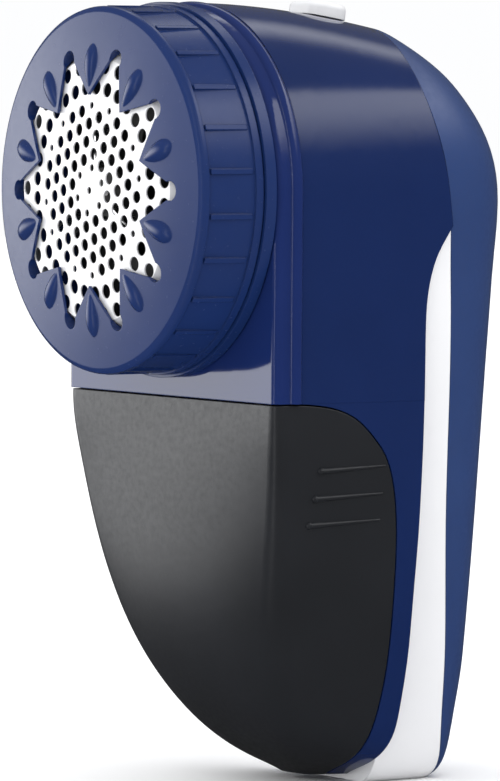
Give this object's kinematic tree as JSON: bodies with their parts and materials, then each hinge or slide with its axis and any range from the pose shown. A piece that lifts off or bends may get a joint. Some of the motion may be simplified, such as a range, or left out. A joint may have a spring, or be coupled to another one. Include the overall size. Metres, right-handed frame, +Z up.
{
  "type": "fabric shaver",
  "caption": "Hand-held battery fabric shaver with a round perforated head, twist-off guard, pull-out lint container and sliding switch.",
  "frame": {"origin": "middle of the flat resting face under the handle", "axes": "+Z up along the handle to the head, -Y the way the round head faces, +X sideways"},
  "size_m": [0.0722, 0.083, 0.1494],
  "materials": {
    "navy_gloss": "gloss navy blue plastic",
    "navy_satin": "satin-gloss navy blue plastic",
    "blue_satin": "satin mid-blue plastic",
    "white_plastic": "satin white plastic",
    "smoke_plastic": "dark smoke-grey satin plastic",
    "grey_plastic": "moulded grey plastic",
    "black_plastic": "moulded black plastic",
    "foil_steel": "bright thin steel",
    "steel": "plain steel",
    "zinc_steel": "zinc-plated steel",
    "ferrite": "sintered ferrite and laminations",
    "brass": "plain brass",
    "cell_jacket": "printed cell jacket, no text",
    "wire_red": "soft insulation",
    "wire_black": "soft insulation"
  },
  "bodies": {
    "body": {"front_bezel": "navy_gloss", "main_housing": "navy_satin", "handle_core": "white_plastic", "back_cover": "blue_satin", "switch_case": "black_plastic", "blade_chamber": "black_plastic", "lint_duct": "grey_plastic", "motor_can": "zinc_steel", "motor_magnets": "ferrite", "motor_bell": "black_plastic", "motor_tabs": "brass", "motor_bush": "brass", "motor_mount": "grey_plastic", "motor_screws": "zinc_steel", "battery_left": "cell_jacket", "battery_right": "cell_jacket", "battery_tray": "black_plastic", "contact_bridge": "zinc_steel", "contact_plates": "zinc_steel", "contact_springs": "zinc_steel", "chassis": "grey_plastic", "case_screws": "zinc_steel", "wire_positive": "wire_red", "wire_negative": "wire_black"},
    "head": {"foil_frame": "navy_gloss", "foil": "foil_steel"},
    "guard": {"guard_cap": "navy_gloss"},
    "rotor": {"motor_shaft": "steel", "motor_armature": "ferrite", "blade_hub": "black_plastic", "cutter_blades": "steel", "fan": "black_plastic", "hub_spring": "steel"},
    "container": {"lint_container": "smoke_plastic", "grip_ribs": "smoke_plastic"},
    "door": {"battery_door": "blue_satin"},
    "switch": {"switch_button": "white_plastic"}
  },
  "joints": [
    {"name": "head_pull", "type": "slide", "parent": "body", "child": "head", "axis": [0, -1, 0], "range_m": [0, 0.03]},
    {"name": "guard_twist", "type": "hinge", "parent": "head", "child": "guard", "pos_m": [0, -0.058, 0.1134], "axis": [0, -1, 0], "range_deg": [0, 25]},
    {"name": "rotor_spin", "type": "hinge", "parent": "body", "child": "rotor", "pos_m": [0, -0.058, 0.1134], "axis": [0, 1, 0], "continuous": true},
    {"name": "container_pull", "type": "slide", "parent": "body", "child": "container", "axis": [0, -1, 0], "range_m": [0, 0.06]},
    {"name": "door_pull", "type": "slide", "parent": "body", "child": "door", "axis": [0, 1, 0], "range_m": [0, 0.014]},
    {"name": "switch_slide", "type": "slide", "parent": "body", "child": "switch", "axis": [0, -0.989, 0.1478], "range_m": [0, 0.004]}
  ]
}
